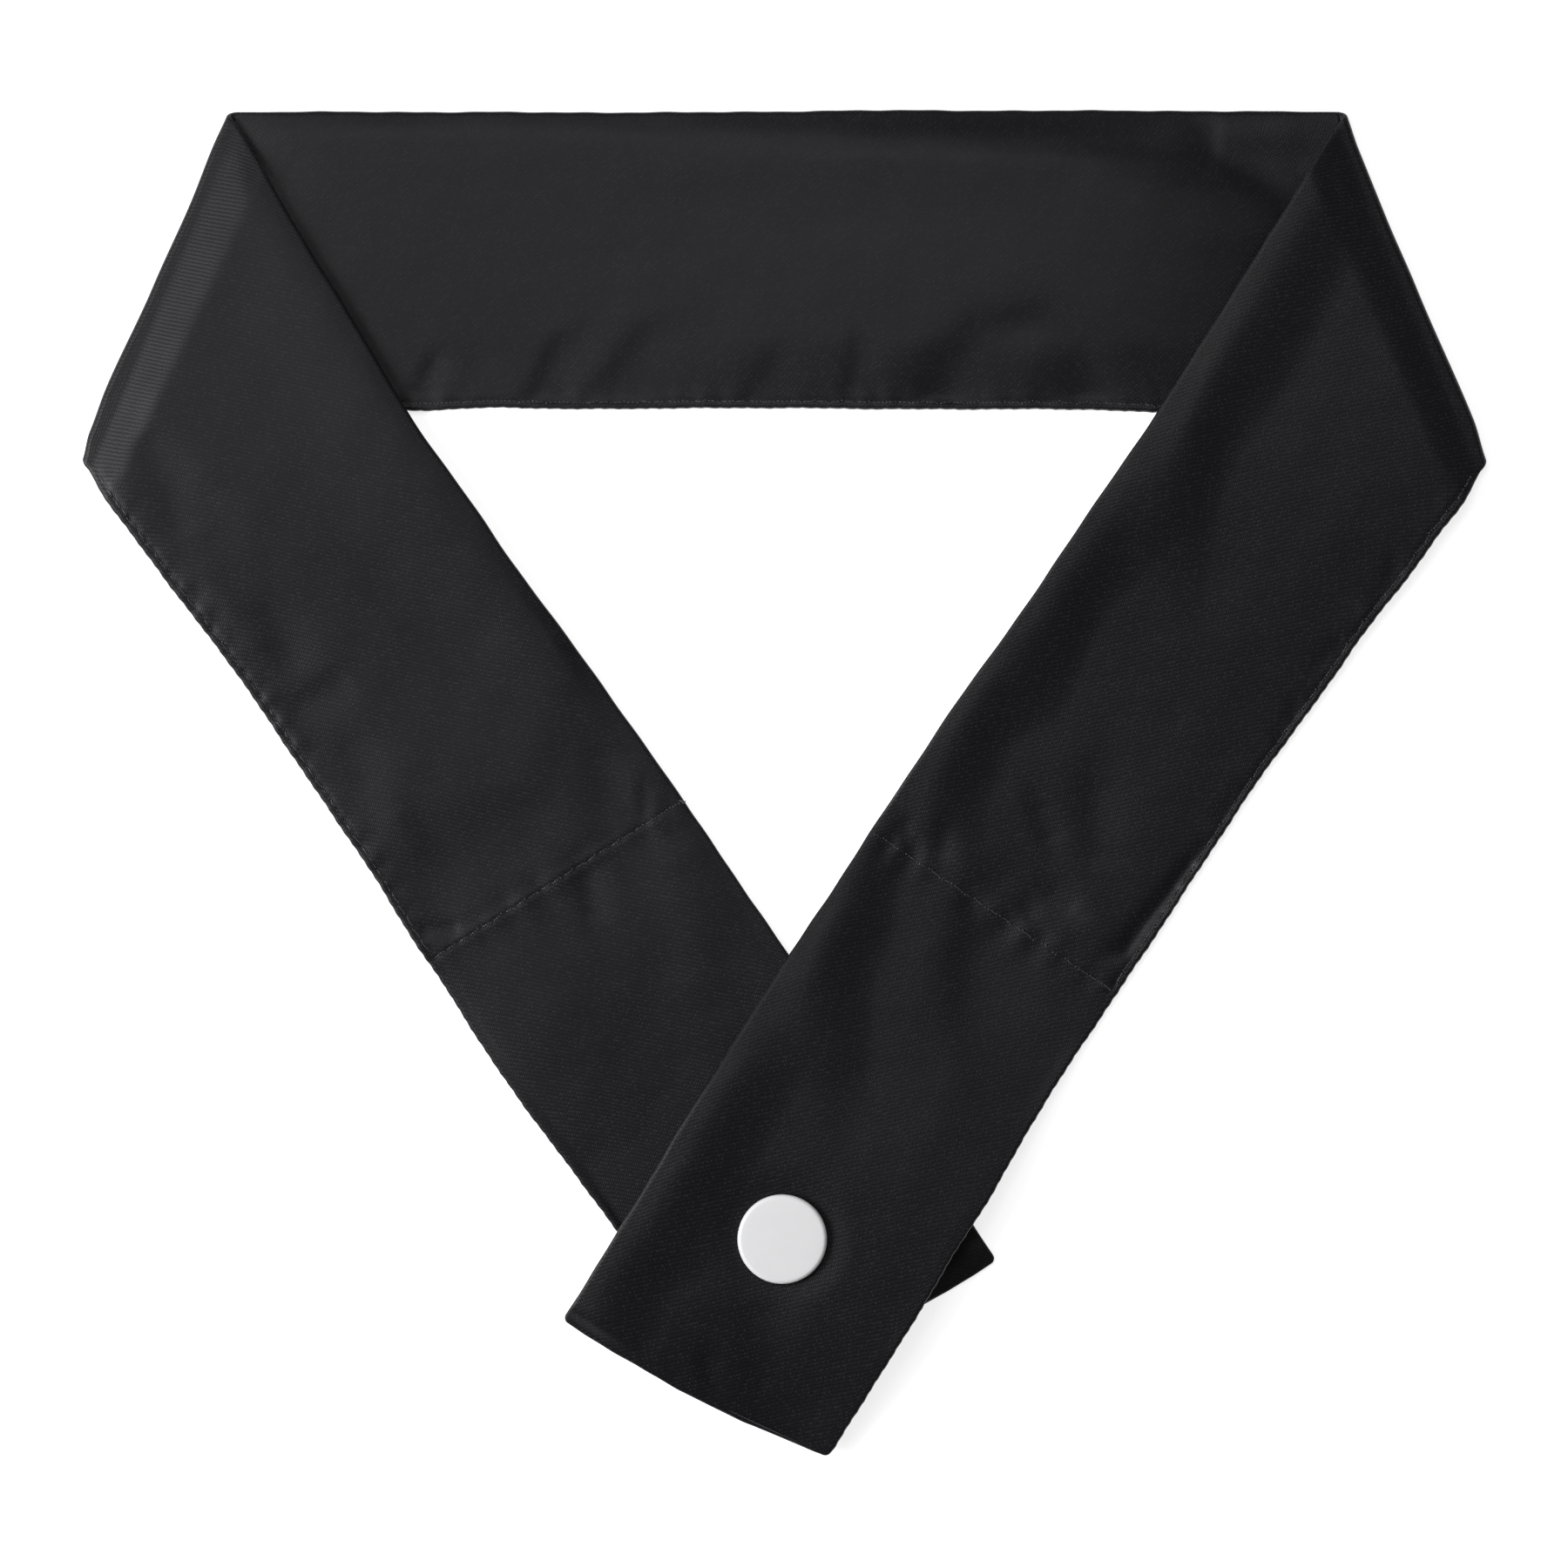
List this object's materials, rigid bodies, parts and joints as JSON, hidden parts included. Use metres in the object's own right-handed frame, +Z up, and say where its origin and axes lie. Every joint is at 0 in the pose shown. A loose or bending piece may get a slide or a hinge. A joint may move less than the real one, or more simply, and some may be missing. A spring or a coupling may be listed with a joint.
{
  "type": "cooling neck wrap",
  "caption": "Flat black satin cooling neck wrap, laid out as a loop with two creases, its arms crossed and held by a white press snap.",
  "frame": {"origin": "on the surface the wrap lies on, under the middle of its outline", "axes": "+Z up out of the surface, +Y from the snap towards the neck stretch, +X to the right as seen from above"},
  "size_m": [0.236, 0.2262, 0.0096],
  "materials": {
    "black_satin": "fine matt black polyester satin weave, soft low sheen",
    "white_resin": "moulded white acetal resin, fine matt face, softly rounded rim"
  },
  "bodies": {
    "root": {"neck_stretch": "black_satin", "left_arm": "black_satin", "right_arm": "black_satin", "snap_cap": "white_resin", "snap_socket": "white_resin", "snap_stud": "white_resin", "snap_back_cap": "white_resin"}
  },
  "joints": []
}
